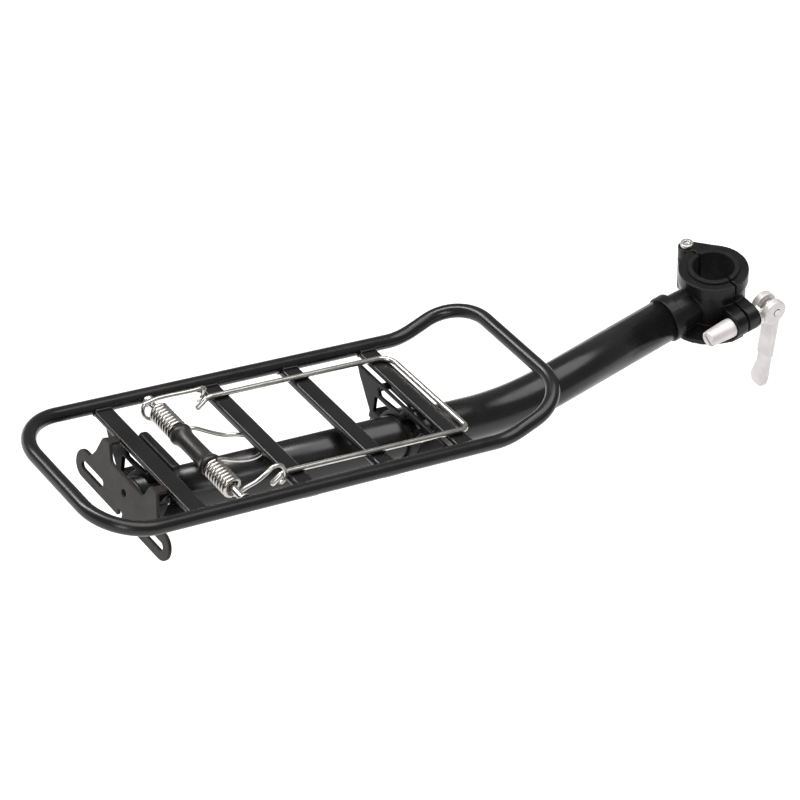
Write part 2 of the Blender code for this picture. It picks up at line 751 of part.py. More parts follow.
def clamp_body():
    centre = Vector((0, 0, 0))
    half = COLLAR_H / 2
    body = rod("clamp_body", CLAMP, (0, 0, -half), (0, 0, half), COLLAR_R, sides=48)
    flange = rod("clamp_flange", CLAMP, (0, 0, KNUCKLE_HALF), (0, 0, half), FLANGE_R, sides=48)
    body_lug = lug("clamp_body_lug", CLAMP, centre, -LUG_T, -SPLIT)
    shoulder = rod("clamp_shoulder", PLATFORM, beam_front(GAP), beam_front(8 * MM), 17 * MM, sides=32)
    neck = rod("clamp_neck", PLATFORM, beam_front(2 * MM), beam_front(34 * MM), 14.5 * MM, 13 * MM, sides=32)
    spigot = rod("clamp_spigot", PLATFORM, beam_front(-26 * MM), beam_front(6 * MM), BEAM_R - BEAM_WALL - GAP)
    gusset = [(-2, -5), (-30, -5), (-39, -8), (-38, -15), (-35.5, -20.5), (-31, -26.5), (-26, -30.5)]
    gusset += [(-19, -34.5), (-12, -37.5), (-2, -37.5)]
    outline = [(x * MM, y * MM) for x, y in gusset]
    floor = outline_plate("clamp_gusset", CLAMP, [outline], 3.2 * MM, (0, 0, -17 * MM), (0, 0, 0))
    add(body, flange, body_lug, shoulder, neck, spigot, floor)
    wide = 80 * MM
    cut(body, box("clamp_body_split", CLAMP, (-SPLIT, -wide, -wide), (wide, wide, wide)))
    knuckle_room = ((0, HINGE_Y, KNUCKLE_HALF - MM), (0, HINGE_Y, half + MM))
    cut(body, rod("clamp_flange_relief", CLAMP, *knuckle_room, KNUCKLE_R + GAP, sides=32))
    middle = KNUCKLE_HALF - GAP
    add(body, *knuckle("clamp_body_knuckle", CLAMP, centre, -middle, middle, -1))
    cut(body, *clamp_tools("clamp_body", CLAMP, centre))
    finish(body, BLACK_PAINT)


def clamp_jaw():
    """The hinged half of the collar, laid out round its hinge pin."""
    centre = Vector((0, -HINGE_Y, 0))
    half = COLLAR_H / 2
    ends = (centre - Z_AXIS * half, centre + Z_AXIS * half)
    jaw = settled(rod("clamp_jaw", JAW_PIVOT, *ends, COLLAR_R, sides=48))
    flange = rod("jaw_flange", JAW_PIVOT, centre + Z_AXIS * KNUCKLE_HALF, ends[1], FLANGE_R, sides=48)
    add(jaw, flange, lug("clamp_jaw_lug", JAW_PIVOT, centre, SPLIT, LUG_T))
    wide = 80 * MM
    cut(jaw, box("clamp_jaw_split", JAW_PIVOT, (-wide, -wide, -wide), (SPLIT, wide, wide)))
    for level, (low, high) in enumerate(((-half, -KNUCKLE_HALF), (KNUCKLE_HALF, half))):
        add(jaw, *knuckle(f"clamp_jaw_knuckle_{level}", JAW_PIVOT, centre, low, high, 1))
    cut(jaw, *clamp_tools("clamp_jaw", JAW_PIVOT, centre))
    finish(jaw, BLACK_PAINT)


def hinge_fasteners():
    half = COLLAR_H / 2
    top = (0, HINGE_Y, half + GAP)
    socket_screw("hinge_bolt", CLAMP, top, (0, HINGE_Y, -half - 4 * MM), PIN_R, 4.75 * MM, 3 * MM)
    nut = rod("hinge_nut", CLAMP, (0, HINGE_Y, -half - 3.6 * MM), (0, HINGE_Y, -half - GAP), 4.6 * MM, sides=6)
    nut_hole = ((0, HINGE_Y, -half - 6 * MM), (0, HINGE_Y, -half + MM))
    cut(nut, rod("hinge_nut_hole", CLAMP, *nut_hole, PIN_R + GAP, sides=16))
    finish(nut, BRIGHT_STEEL)


def shim(name, parent, centre, side):
    """Half of the rubber sleeve, with a lip over each end of the collar."""
    lip = COLLAR_H / 2 + GAP
    top = lip + 1.2 * MM
    rim = SEAT_R + 0.8 * MM
    outer = [(BORE_R, top), (rim - 0.6 * MM, top), (rim, top - 0.6 * MM), (rim, lip), (SHIM_OUT, lip)]
    inner = [(SHIM_OUT, -lip), (rim, -lip), (rim, -top), (BORE_R, -top)]
    sleeve = turned(name, parent, outer + inner, centre, Z_AXIS, 36)
    wide = 60 * MM
    near, far = sorted((side * MM, -side * wide))
    low = centre + Vector((near, -wide, -wide))
    cut(sleeve, box(f"{name}_split", parent, low, centre + Vector((far, wide, wide))))
    finish(sleeve, RUBBER)


def skewer():
    """A rod through both lugs, with an eye for the cam lever's pin."""
    start = (-24 * MM, SKEWER_Y, SKEWER_Z)
    end = (CAM_X, SKEWER_Y, SKEWER_Z)
    solid = rod("skewer", CLAMP, start, end, SKEWER_R, sides=20)
    eye_low = (CAM_X, SKEWER_Y - EYE_HALF_W, SKEWER_Z)
    eye_high = (CAM_X, SKEWER_Y + EYE_HALF_W, SKEWER_Z)
    add(solid, rod("skewer_eye", CLAMP, eye_low, eye_high, 5.2 * MM, sides=24))
    hole = (Vector(eye_low) - Y_AXIS * MM, Vector(eye_high) + Y_AXIS * MM)
    cut(solid, rod("skewer_pin_hole", CLAMP, *hole, PIN_R + GAP, sides=20))
    finish(solid, BRIGHT_STEEL)


def barrel_nut():
    """A tapered nut on the skewer's rear end, with a driver slot."""
    back, front = NUT_BACK, -LUG_T - GAP
    bore = SKEWER_R + GAP
    profile = [(bore, front), (6.6 * MM, front), (7 * MM, front - 0.5 * MM), (7 * MM, front - 4 * MM)]
    profile += [(5.9 * MM, back + MM), (5.2 * MM, back), (0, back), (0, back + 5 * MM), (bore, back + 5 * MM)]
    nut = turned("barrel_nut", NUT_PIVOT, profile, (0, 0, 0), X_AXIS, 24)
    slot_low = (back - MM, -7 * MM, -1.3 * MM)
    slot = settled(box("barrel_nut_slot", NUT_PIVOT, slot_low, (back + 3.4 * MM, 7 * MM, 1.3 * MM)))
    slot.rotation_euler = (NUT_SLOT_TURN, 0, 0)
    cut(nut, slot)
    finish(nut, ALUMINIUM)


def cam_washer():
    """A thick washer between the jaw's lug and the cam, carried by the jaw."""
    x = LUG_T + GAP
    thickness = CAM_X - CAM_OFFSET - CAM_R - GAP - x
    edge = 0.8 * MM
    profile = [(3.3 * MM, thickness), (8.5 * MM - edge, thickness), (8.5 * MM, thickness - edge)]
    profile += [(8.5 * MM, 0), (3.3 * MM, 0)]
    location = (x, SKEWER_Y - HINGE_Y, SKEWER_Z)
    finish(turned("cam_washer", JAW_PIVOT, profile, location, X_AXIS, 24), BRIGHT_STEEL)


def cam_lever():
    """Two eccentric cheeks on the pin, and an arm that hangs beside the seatpost."""
    cam = Vector((-CAM_OFFSET, 0, 0))
    cheek_ends = (cam - Y_AXIS * CAM_HALF_W, cam + Y_AXIS * CAM_HALF_W)
    lever = settled(rod("cam_lever", CAM_PIVOT, *cheek_ends, CAM_R, sides=32))
    tip = Vector((LEVER_TIP[0] - CAM_X, 0, LEVER_TIP[1] - SKEWER_Z))
    lean = math.atan2(-tip.x, -tip.z)
    length = tip.length
    half_t = 3.2 * MM
    upper_low = (ARM_OUT - half_t, -6.6 * MM, -0.62 * length)
    upper = box("lever_upper", CAM_PIVOT, upper_low, (ARM_OUT + half_t, 6.6 * MM, -4 * MM))
    end = length / MM
    sides = [(5.2, -0.58 * end, 0), (5.4, -0.72 * end, 8), (9, -0.9 * end, 5), (7, -end, 4)]
    sides += [(-4, -end, 4), (-5.6, -0.9 * end, 5), (-5.2, -0.58 * end, 0)]
    lower = outline_plate("lever_lower", CAM_PIVOT, [flat(sides)], 4.8 * MM, (ARM_OUT, 0, 0), ACROSS)
    for piece, width in ((upper, 2 * MM), (lower, 1.6 * MM)):
        settled(piece).rotation_euler = (0, lean, 0)
        bevelled(piece, width, 2)
    # The gap between the cheeks is open except where the arm meets them.
    reach = 14 * MM
    gap_low = (-reach, -EYE_HALF_W - GAP, -5.7 * MM)
    slot = box("lever_slot", CAM_PIVOT, gap_low, (reach, EYE_HALF_W + GAP, reach))
    pin_ends = (-Y_AXIS * 12 * MM, Y_AXIS * 12 * MM)
    add(lever, upper, lower)
    cut(lever, slot, rod("lever_pin_hole", CAM_PIVOT, *pin_ends, PIN_R + GAP, sides=20))
    finish(lever, ALUMINIUM)
    pin_half = CAM_HALF_W + 0.4 * MM
    pin = rod("lever_pin", CAM_PIVOT, -Y_AXIS * pin_half, Y_AXIS * pin_half, PIN_R, sides=20)
    finish(pin, BRIGHT_STEEL)


def seatpost_clamp():
    clamp_body()
    clamp_jaw()
    hinge_fasteners()
    shim("rear_shim", CLAMP, Vector((0, 0, 0)), -1)
    shim("front_shim", JAW_PIVOT, Vector((0, -HINGE_Y, 0)), 1)
    skewer()
    barrel_nut()
    cam_washer()
    cam_lever()


# ---------------------------------------------------------------- the rack


def build():
    platform_loop()
    for name, bar in (
        ("rear_crossbar", REAR_BAR),
        ("crossbar_2", BAR_2),
        ("crossbar_3", BAR_3),
        ("front_crossbar", FRONT_BAR),
    ):
        crossbar(name, bar)
    tail_light_plate()
    beam()
    rear_pads = [((75.4, -14, -10), (83, 28, 1), 2.5)]
    rear_pads += [((67, -13, -9), (79, -8, -4.6), 0.6), ((67, 22, -9), (79, 27, -4.6), 0.6)]
    front_pads = [((278.5, -14.3, -11.3), (290.5, 28.3, -4.6), 2.5)]
    front_pads += [((270, -8, -9), (281, -3.5, -5), 0.6), ((270, 23, -9), (281, 27.5, -5), 0.6)]
    for prefix, x, pads in (("rear", REAR_BRACKET_X, rear_pads), ("front", FRONT_BRACKET_X, front_pads)):
        bracket(prefix, x, pads)
        strap(prefix, x)
        bracket_fasteners(prefix, x)
    spring_seats()
    coils()
    reaction_loop()
    left_arm()
    right_arm()
    bail()
    seatpost_clamp()


build()
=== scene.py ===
import json
import math

import bmesh
import bpy
from mathutils import Matrix, Vector


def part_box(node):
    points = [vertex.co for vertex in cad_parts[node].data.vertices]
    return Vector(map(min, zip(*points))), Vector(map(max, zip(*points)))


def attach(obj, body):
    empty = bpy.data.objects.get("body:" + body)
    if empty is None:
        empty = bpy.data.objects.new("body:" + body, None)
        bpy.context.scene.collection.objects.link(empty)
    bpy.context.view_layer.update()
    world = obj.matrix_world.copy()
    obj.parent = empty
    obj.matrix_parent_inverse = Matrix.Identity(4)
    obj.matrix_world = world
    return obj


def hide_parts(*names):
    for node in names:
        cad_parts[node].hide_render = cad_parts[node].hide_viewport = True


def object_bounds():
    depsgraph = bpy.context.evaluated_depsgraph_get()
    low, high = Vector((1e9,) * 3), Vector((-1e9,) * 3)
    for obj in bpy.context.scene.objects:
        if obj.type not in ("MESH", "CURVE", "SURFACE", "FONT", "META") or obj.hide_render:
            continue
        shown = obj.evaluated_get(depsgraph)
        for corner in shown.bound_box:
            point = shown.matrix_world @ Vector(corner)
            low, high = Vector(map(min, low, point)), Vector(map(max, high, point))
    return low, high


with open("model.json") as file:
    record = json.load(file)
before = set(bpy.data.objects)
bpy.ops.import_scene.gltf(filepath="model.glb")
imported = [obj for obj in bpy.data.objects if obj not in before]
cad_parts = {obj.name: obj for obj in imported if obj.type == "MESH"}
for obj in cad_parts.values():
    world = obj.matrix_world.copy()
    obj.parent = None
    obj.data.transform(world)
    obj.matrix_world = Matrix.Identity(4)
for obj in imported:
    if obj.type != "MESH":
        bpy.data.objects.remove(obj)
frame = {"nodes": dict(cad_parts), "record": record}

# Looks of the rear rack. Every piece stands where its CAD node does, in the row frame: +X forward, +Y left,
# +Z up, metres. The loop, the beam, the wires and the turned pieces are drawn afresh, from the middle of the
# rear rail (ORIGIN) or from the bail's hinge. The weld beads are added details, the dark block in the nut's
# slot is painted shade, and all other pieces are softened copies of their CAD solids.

cad_low, cad_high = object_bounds()
RECORD = frame["record"]
BODY_OF = {node: body for body, nodes in RECORD["behaviour"]["bodies"].items() for node in nodes}
JOINTS = {joint["name"]: joint for joint in RECORD["behaviour"]["joints"]}

MM = 0.001
X_AXIS = Vector((1, 0, 0))
Y_AXIS = Vector((0, 1, 0))

CROSSBARS = ("rear_crossbar", "crossbar_2", "crossbar_3", "front_crossbar")
SIDES = ((1, "left"), (-1, "right"))

# Driving dimensions
LOOP_R = 5 * MM
REAR_CORNER_R = 35 * MM
FRONT_CORNER_R = 30 * MM
RAMP_ANGLE = math.radians(28)
RAMP_BEND_R = 45 * MM
BEAM_R = 15.5 * MM
BEAM_WALL = 2 * MM
BEAM_ANGLE = math.radians(20.5)
BEAM_BEND_R = 200 * MM
BEAM_CORNER_X = 372 * MM
BEAM_RISE = 135 * MM
ROD_R = 2.5 * MM
WIRE_R = 1.4 * MM
COIL_R = 5.9 * MM
COIL_IN = 21 * MM
COIL_OUT = 43.5 * MM
COIL_TURNS = 8
BAIL_R = 1.9 * MM
GAP = 0.3 * MM  # clearance between neighbouring pieces
BAIL_SKEW = 1.5 * MM  # how far the right front corner stands beyond the left one, forward and sideways
PLUG_FACE = 2.2 * MM
PLUG_DEPTH = 12 * MM
PLUG_WALL = 2 * MM
WELD_R = 1.25 * MM
WELD_RIPPLE = 1.5 * MM
WELD_INSET = 0.5 * MM  # from the loop's surface, and from the crossbar's edges
NUT_SLOT_TURN = math.radians(34)
NUT_SLOT_DEPTH = 3.4 * MM
# Size of the dark block that paints shade into the bottom of the barrel nut's slot
SLOT_SHADE_DEPTH = 1.6 * MM
SLOT_SHADE_LENGTH = 9.2 * MM
SLOT_SHADE_WIDTH = 2.3 * MM
FLOOR_SIZE = 40
FLOOR_DROP = 0.22  # how far the floor lies under the rack

# Places taken from the frame
loop_low, loop_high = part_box("platform_loop")
RAIL_Y = loop_high.y - LOOP_R
ORIGIN = Vector((loop_low.x + LOOP_R, 0, loop_low.z + LOOP_R))
FRONT_RAIL_X = loop_high.x - LOOP_R - ORIGIN.x
RAMP_RISE = loop_high.z - LOOP_R - ORIGIN.z
RAMP_X = FRONT_RAIL_X - RAMP_RISE / math.tan(RAMP_ANGLE)
beam_low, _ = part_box("beam_tube")
BEAM_REAR_X = beam_low.x - ORIGIN.x
BEAM_Z = beam_low.z + BEAM_R - ORIGIN.z
CLIP_PIVOT = Vector(JOINTS["bail_hinge"]["pos_m"])
ROD_X = CLIP_PIVOT.x - ORIGIN.x
ROD_Z = CLIP_PIVOT.z - ORIGIN.z
_, bail_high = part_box("bail")
BAIL_FRONT_X = bail_high.x - BAIL_R - BAIL_SKEW - ORIGIN.x
BAIL_Y = bail_high.y - BAIL_R
BAIL_Z = bail_high.z - BAIL_R - ORIGIN.z
NUT_PIVOT = Vector(JOINTS["nut_spin"]["pos_m"])
NUT_AXIS = Vector(JOINTS["nut_spin"]["axis"]).normalized()


# ---------------------------------------------------------------- materials


class Look:
    """A material under construction: its node tree and Principled shader."""

    def __init__(self, name, colour, roughness, metallic=0.0):
        self.material = bpy.data.materials.new(name)
        self.material.use_nodes = True
        self.tree = self.material.node_tree
        self.shader = self.tree.nodes["Principled BSDF"]
        self.shader.inputs["Base Color"].default_value = (*colour, 1)
        self.shader.inputs["Roughness"].default_value = roughness
        self.shader.inputs["Metallic"].default_value = metallic
        self.coordinates = self.node("ShaderNodeTexCoord").outputs["Object"]

    def node(self, kind, **values):
        made = self.tree.nodes.new(kind)
        for key, value in values.items():
            made.inputs[key.replace("_", " ")].default_value = value
        return made

    def link(self, source, target):
        self.tree.links.new(source, target)

    def noise(self, scale, detail=3.0, stretch=(1, 1, 1)):
        """Noise with the given scale, per metre, stretched along the axes."""
        mapping = self.node("ShaderNodeMapping", Scale=stretch)
        texture = self.node("ShaderNodeTexNoise", Scale=scale, Detail=detail)
        self.link(self.coordinates, mapping.inputs["Vector"])
        self.link(mapping.outputs["Vector"], texture.inputs["Vector"])
        return texture.outputs["Fac"]

    def spread(self, source, low, high):
        """Maps the middle of a noise onto low to high."""
        ranged = self.node("ShaderNodeMapRange", From_Min=0.3, From_Max=0.7, To_Min=low, To_Max=high)
        self.link(source, ranged.inputs["Value"])
        return ranged.outputs["Result"]

    def tint(self, source, dark, light):
        """Runs the base colour from dark to light."""
        ramp = self.node("ShaderNodeValToRGB")
        ramp.color_ramp.elements[0].position = 0.3
        ramp.color_ramp.elements[0].color = (*dark, 1)
        ramp.color_ramp.elements[1].position = 0.7
        ramp.color_ramp.elements[1].color = (*light, 1)
        self.link(source, ramp.inputs["Fac"])
        self.link(ramp.outputs["Color"], self.shader.inputs["Base Color"])

    def rough(self, source, low, high):
        self.link(self.spread(source, low, high), self.shader.inputs["Roughness"])

    def bump(self, source, height, strength, below=None):
        """Raises the surface by up to the height, in metres, on top of another bump."""
        bump = self.node("ShaderNodeBump", Strength=strength, Distance=height)
        self.link(source, bump.inputs["Height"])
        if below is not None:
            self.link(below, bump.inputs["Normal"])
        return bump.outputs["Normal"]

    def finish(self, normal):
        self.link(normal, self.shader.inputs["Normal"])
        return self.material


def tube_paint():
    """Smooth black powder coat: faint orange peel, and gloss that varies a little."""
    look = Look("tube_paint", (0.006, 0.006, 0.006), 0.3)
    look.shader.inputs["Specular IOR Level"].default_value = 0.4
    look.tint(look.noise(40), (0.004, 0.0038, 0.0038), (0.0085, 0.008, 0.0078))
    look.rough(look.noise(90, 5), 0.2, 0.3)
    peel = look.bump(look.noise(700, 2), 0.00006, 0.5)
    return look.finish(look.bump(look.noise(3500, 2), 0.00001, 0.4, peel))


def cast_paint():
    """Black paint over a casting, with its grain showing through."""
    look = Look("cast_paint", (0.006, 0.0058, 0.0056), 0.34)
    look.shader.inputs["Specular IOR Level"].default_value = 0.2
    look.tint(look.noise(60, 4), (0.004, 0.0038, 0.0037), (0.009, 0.0086, 0.0083))
    look.rough(look.noise(160, 5), 0.24, 0.4)
    grain = look.bump(look.noise(1100, 4), 0.00012, 0.45)
    return look.finish(look.bump(look.noise(4500, 2), 0.00002, 0.5, grain))


def sheet_paint():
    """Satin black paint on pressed sheet, lighter and a shade warmer than the tube's."""
    look = Look("sheet_paint", (0.02, 0.018, 0.017), 0.42)
    look.shader.inputs["Specular IOR Level"].default_value = 0.16
    look.tint(look.noise(50, 4), (0.015, 0.0125, 0.0115), (0.027, 0.023, 0.0215))
    look.rough(look.noise(130, 4), 0.34, 0.48)
    return look.finish(look.bump(look.noise(1600, 3), 0.00004, 0.5))


def wire_steel(name, axis_stretch, colour=(0.6, 0.585, 0.555)):
    """Bright plated steel. A small axis_stretch draws its fine marks out along that axis."""
    look = Look(name, colour, 0.22, 1.0)
    dark = tuple(0.82 * value for value in colour)
    look.tint(look.noise(120, 4), dark, colour)
    look.rough(look.noise(300, 4, axis_stretch), 0.14, 0.3)
    return look.finish(look.bump(look.noise(2500, 3, axis_stretch), 0.00003, 0.5))


def screw_steel():
    """Zinc-plated screws: greyer and duller than the wire."""
    look = Look("screw_steel", (0.58, 0.57, 0.55), 0.34, 1.0)
    look.tint(look.noise(400, 4), (0.45, 0.44, 0.42), (0.66, 0.65, 0.62))
    look.rough(look.noise(900, 3), 0.26, 0.42)
    return look.finish(look.bump(look.noise(2600, 3), 0.00003, 0.5))


def pale_aluminium():
    """Silver-finished cast aluminium, nearly white under soft light."""
    look = Look("pale_aluminium", (0.6, 0.57, 0.56), 0.42, 0.35)
    look.tint(look.noise(90, 4), (0.53, 0.5, 0.495), (0.65, 0.62, 0.61))
    look.rough(look.noise(260, 4), 0.34, 0.5)
    grain = look.bump(look.noise(900, 3), 0.00008, 0.35)
    return look.finish(look.bump(look.noise(3800, 2), 0.00002, 0.4, grain))


def sleeve_plastic():
    """Moulded black plastic, with a gloss that varies along the sleeve."""
    look = Look("sleeve_plastic", (0.016, 0.0135, 0.0125), 0.36)
    look.shader.inputs["Specular IOR Level"].default_value = 0.35
    look.tint(look.noise(70, 3), (0.011, 0.0095, 0.009), (0.022, 0.019, 0.0175))
    look.rough(look.noise(200, 4, (1, 0.3, 1)), 0.27, 0.42)
    return look.finish(look.bump(look.noise(2200, 3), 0.00004, 0.45))


def shim_rubber():
    """Matte rubber with a fine pebble and a powdery bloom."""
    look = Look("shim_rubber", (0.01, 0.0095, 0.01), 0.75)
    look.shader.inputs["Specular IOR Level"].default_value = 0.18
    look.tint(look.noise(220, 5), (0.004, 0.0037, 0.0039), (0.01, 0.0094, 0.0097))
    look.rough(look.noise(150, 4), 0.62, 0.84)
    return look.finish(look.bump(look.noise(3000, 3), 0.00008, 0.6))


def floor_surface():
    """Matte white ground."""
    look = Look("floor_surface", (0.9, 0.9, 0.9), 0.9)
    look.tint(look.noise(3, 2), (0.895, 0.895, 0.895), (0.905, 0.905, 0.905))
    look.rough(look.noise(8, 2), 0.85, 0.95)
    return look.finish(look.bump(look.noise(200, 2), 0.0001, 0.1))


TUBE_PAINT = tube_paint()
CAST_PAINT = cast_paint()
SHEET_PAINT = sheet_paint()
LONG_WIRE = wire_steel("long_wire", axis_stretch=(0.08, 1, 1))
COIL_WIRE = wire_steel("coil_wire", axis_stretch=(1, 1, 1), colour=(0.52, 0.495, 0.475))
SCREW_STEEL = screw_steel()
PALE_ALUMINIUM = pale_aluminium()
SLEEVE_PLASTIC = sleeve_plastic()
SHIM_RUBBER = shim_rubber()


# ---------------------------------------------------------------- pieces


def show(obj, look, *nodes):
    """Gives the piece its look and its CAD body, and lets it stand for the nodes."""
    obj.data.materials.clear()
    obj.data.materials.append(look)
    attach(obj, BODY_OF[nodes[0]])
    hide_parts(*nodes)
    return obj


def trim(obj, look, node):
    """A detail that belongs to the node's body and has its slot, and replaces nothing."""
    obj.data.materials.clear()
    obj.data.materials.append(look)
    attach(obj, BODY_OF[node])
    return obj


def new_object(name, data):
    obj = bpy.data.objects.new(name, data)
    bpy.context.scene.collection.objects.link(obj)
    return obj


def smooth(obj, angle=35):
    obj.data.shade_smooth()
    obj.data.set_sharp_from_angle(angle=math.radians(angle))
    return obj


def softened(name, node, voxel, passes):
    """The CAD solid with its edges rounded and its inner corners filled, as in a casting or a pressing."""
    obj = new_object(name, frame["nodes"][node].data.copy())
    remesh = obj.modifiers.new("skin", "REMESH")
    remesh.mode = "VOXEL"
    remesh.voxel_size = voxel
    remesh.use_smooth_shade = True
    soft = obj.modifiers.new("soft", "SMOOTH")
    soft.factor = 0.5
    soft.iterations = passes
    return obj


def rounded_path(corners, closed=False, step=math.radians(3)):
    """Points of a line through the (point, radius) corners, with an arc at each one that has a radius."""
    points = []
    count = len(corners)
    for i, (corner, radius) in enumerate(corners):
        corner = Vector(corner)
        at_end = not closed and i in (0, count - 1)
        if at_end or radius == 0:
            points.append(corner)
            continue
        back = (Vector(corners[i - 1][0]) - corner).normalized()
        ahead = (Vector(corners[(i + 1) % count][0]) - corner).normalized()
        turn = math.pi - back.angle(ahead)
        centre = corner + (back + ahead).normalized() * radius / math.cos(turn / 2)
        start = corner + back * radius * math.tan(turn / 2) - centre
        axis = back.cross(start).normalized()
        steps = max(2, round(turn / step))
        for k in range(steps + 1):
            points.append(centre + Matrix.Rotation(turn * k / steps, 3, axis) @ start)
    return points


def smooth_path(knots, per_span=10):
    """Catmull-Rom points through the knots."""
    knots = [Vector(knot) for knot in knots]
    ends = [2 * knots[0] - knots[1]] + knots + [2 * knots[-1] - knots[-2]]
    points = []
    for a, b, c, d in zip(ends, ends[1:], ends[2:], ends[3:]):
        for k in range(per_span):
            t = k / per_span
            square = (2 * a - 5 * b + 4 * c - d) * t**2
            cube = (3 * b - a - 3 * c + d) * t**3
            points.append(0.5 * (2 * b + (c - a) * t + square + cube))
    points.append(knots[-1])
    return points


def in_mm(*points):
    return [Vector(point) * MM for point in points]


def tube(
    name, points, radius, closed=False, resolution=6, twist="MINIMUM", origin=ORIGIN, widths=None, caps=True
):
    """A round bar along the points, as a mesh. widths are factors of the radius, point by point."""
    curve = bpy.data.curves.new(name, "CURVE")
    curve.dimensions = "3D"
    curve.twist_mode = twist
    spline = curve.splines.new("POLY")
    spline.points.add(len(points) - 1)
    for k, point in enumerate(points):
        spline.points[k].co = (*(Vector(point) + origin), 1)
        spline.points[k].radius = 1 if widths is None else widths[k]
    spline.use_cyclic_u = closed
    curve.bevel_depth = radius
    curve.bevel_resolution = resolution
    curve.use_fill_caps = caps and not closed
    guide = new_object(name + "_path", curve)
    bpy.context.view_layer.update()
    evaluated = guide.evaluated_get(bpy.context.evaluated_depsgraph_get())
    mesh = bpy.data.meshes.new_from_object(evaluated)
    bpy.data.objects.remove(guide, do_unlink=True)
    bm = bmesh.new()
    bm.from_mesh(mesh)
    bmesh.ops.remove_doubles(bm, verts=bm.verts, dist=1e-7)
    bmesh.ops.recalc_face_normals(bm, faces=bm.faces)
    bm.to_mesh(mesh)
    bm.free()
    return smooth(new_object(name, mesh), 50)


def round_ends(count, taper=(0.45, 0.75, 0.92)):
    """Width factors that round off both ends of a wire."""
    widths = [1.0] * count
    for k, factor in enumerate(taper):
        widths[k] = factor
        widths[-1 - k] = factor
    return widths


def nipped(points, radius):
    """The points with more of them near both ends, so that round_ends shapes only the last bit of wire."""
    first = (points[1] - points[0]).normalized()
    last = (points[-2] - points[-1]).normalized()
    near = [points[0] + first * radius * share for share in (0, 0.12, 0.4, 0.8)]
    far = [points[-1] + last * radius * share for share in (0.8, 0.4, 0.12, 0)]
    return near + list(points[1:-1]) + far


def turned(name, profile, place, axis, steps=64):
    """A solid of revolution from (radius, height) points. A profile that starts off the axis is closed."""
    mesh = bpy.data.meshes.new(name)
    count = len(profile)
    edges = [(i, i + 1) for i in range(count - 1)]
    if profile[0][0] > 0:
        edges.append((count - 1, 0))
    mesh.from_pydata([(radius, 0, height) for radius, height in profile], edges, [])
    obj = new_object(name, mesh)
    obj.matrix_world = Matrix.Translation(place) @ axis.to_track_quat("Z", "Y").to_matrix().to_4x4()
    screw = obj.modifiers.new("turn", "SCREW")
    screw.steps = steps
    screw.render_steps = steps
    screw.use_merge_vertices = True
    screw.merge_threshold = 1e-7
    screw.use_smooth_shade = True
    edge = obj.modifiers.new("edges", "BEVEL")
    edge.width = 0.25 * MM
    edge.segments = 3
    edge.limit_method = "ANGLE"
    edge.angle_limit = math.radians(35)
    return obj


# ---------------------------------------------------------------- platform


def platform_loop():
    left = [
        ((0, RAIL_Y, 0), REAR_CORNER_R),
        ((RAMP_X, RAIL_Y, 0), RAMP_BEND_R),
        ((FRONT_RAIL_X, RAIL_Y, RAMP_RISE), FRONT_CORNER_R),
    ]
    right = [((x, -y, z), radius) for (x, y, z), radius in reversed(left)]
    path = rounded_path(left + right, closed=True)
    loop = tube("loop_tube", path, LOOP_R, closed=True, resolution=12, twist="Z_UP")
    show(loop, TUBE_PAINT, "platform_loop")


def crossbars():
    for node in CROSSBARS:
        show(softened(node + "_bar", node, voxel=0.45 * MM, passes=3), TUBE_PAINT, node)


def weld_bead(name, start, end, radius, look, node):
    """A rippled bead between two points, thinner at its ends."""
    start, end = Vector(start), Vector(end)
    length = (end - start).length
    count = max(14, round(length / WELD_RIPPLE * 8))
    points = []
    widths = []
    for k in range(count + 1):
        t = k / count
        points.append(start.lerp(end, t))
        swell = 0.86 + 0.14 * abs(math.sin(math.pi * t * length / WELD_RIPPLE))
        widths.append(max(0.12, swell * min(1, 4 * math.sin(math.pi * t)) ** 0.5))
    bead = tube(name, points, radius, resolution=4, origin=Vector((0, 0, 0)), widths=widths)
    trim(bead, look, node)


def rail_welds():
    """A bead above and below each crossbar's end, where it meets the loop."""
    lift = 0.15 * MM
    for node in CROSSBARS:
        low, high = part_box(node)
        for side, tag in SIDES:
            for level, z in (("top", high.z + lift), ("under", low.z - lift)):
                drop = z - ORIGIN.z
                reach = math.sqrt(max(0, LOOP_R**2 - drop**2)) + WELD_INSET
                y = side * (RAIL_Y - reach)
                start = (low.x + WELD_INSET, y, z)
                end = (high.x - WELD_INSET, y, z)
                weld_bead(f"weld_{node}_{tag}_{level}", start, end, WELD_R, TUBE_PAINT, node)


def tail_light_plate():
    """The plate, and a bead over each of its two tongues, where they meet the rear crossbar."""
    plate = softened("light_plate", "tail_light_plate", voxel=0.32 * MM, passes=3)
    show(plate, SHEET_PAINT, "tail_light_plate")
    bar_low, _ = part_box("rear_crossbar")
    _, plate_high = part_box("tail_light_plate")
    sink = 0.2 * MM
    x, top = bar_low.x - sink, plate_high.z - sink
    inner, outer = 25 * MM, 31 * MM
    for side, tag in SIDES:
        ends = ((x, side * inner, top), (x, side * outer, top))
        weld_bead(f"weld_tongue_{tag}", *ends, 0.9 * MM, SHEET_PAINT, "tail_light_plate")


# ---------------------------------------------------------------- beam and brackets


